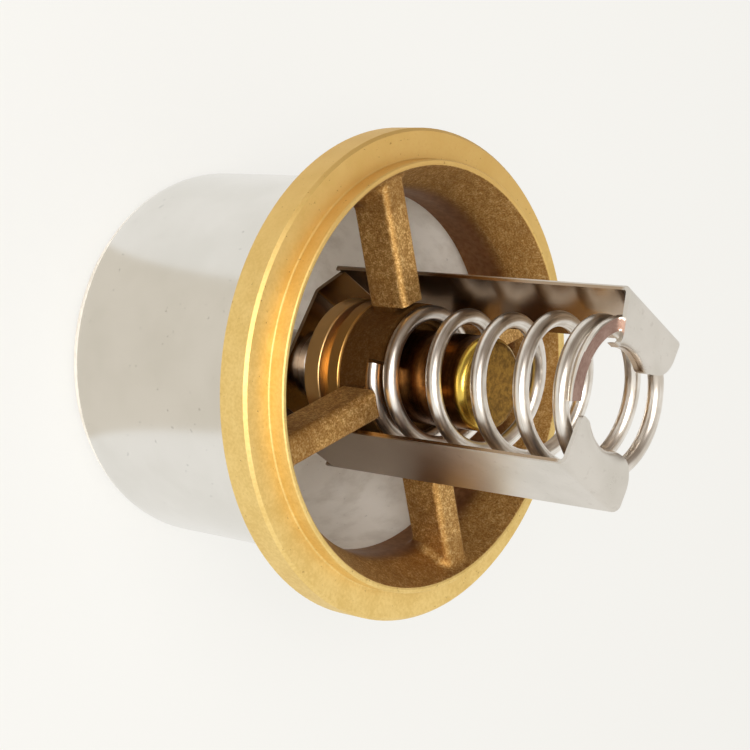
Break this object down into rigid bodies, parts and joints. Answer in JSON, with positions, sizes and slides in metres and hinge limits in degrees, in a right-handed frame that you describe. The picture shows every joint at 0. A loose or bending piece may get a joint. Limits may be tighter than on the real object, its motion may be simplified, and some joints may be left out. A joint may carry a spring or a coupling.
{
  "type": "engine thermostat",
  "caption": "Wax thermostat with a cast ring flange and hub, a drawn steel cup as sleeve valve, a folded strap and a coil spring over the wax element.",
  "frame": {"origin": "middle of the closed cup's flat underside, which stands on Z = 0", "axes": "+Z along the common axis from the cup through the flange to the spring; the strap's legs lie on the +Y and -Y side"},
  "size_m": [0.0666, 0.0666, 0.0775],
  "materials": {
    "cast_bronze": "sand-cast and turned",
    "drawn_stainless": "satin polished",
    "strap_stainless": "satin",
    "spring_wire": "polished",
    "copper_alloy": "drawn, polished",
    "guide_brass": "turned",
    "seal_rubber": "moulded",
    "wax": "solid wax with copper powder",
    "ground_steel": "ground",
    "turned_steel": "turned"
  },
  "bodies": {
    "housing": {"flange_casting": "cast_bronze", "pellet_cup": "copper_alloy", "element_guide": "guide_brass", "guide_seal": "seal_rubber", "piston_boot": "seal_rubber", "wax_charge": "wax", "return_spring": "spring_wire"},
    "valve": {"valve_cup": "drawn_stainless", "lift_strap": "strap_stainless", "centre_stud": "turned_steel", "spacer_tube": "turned_steel", "inner_washer": "turned_steel", "outer_washer": "turned_steel", "piston": "ground_steel"}
  },
  "joints": [
    {"name": "valve_lift", "type": "slide", "parent": "housing", "child": "valve", "axis": [0, 0, -1], "range_m": [0, 0.0095], "stiffness_N_per_m": 7800, "springref_m": -0.006, "deforming": ["return_spring"]}
  ]
}
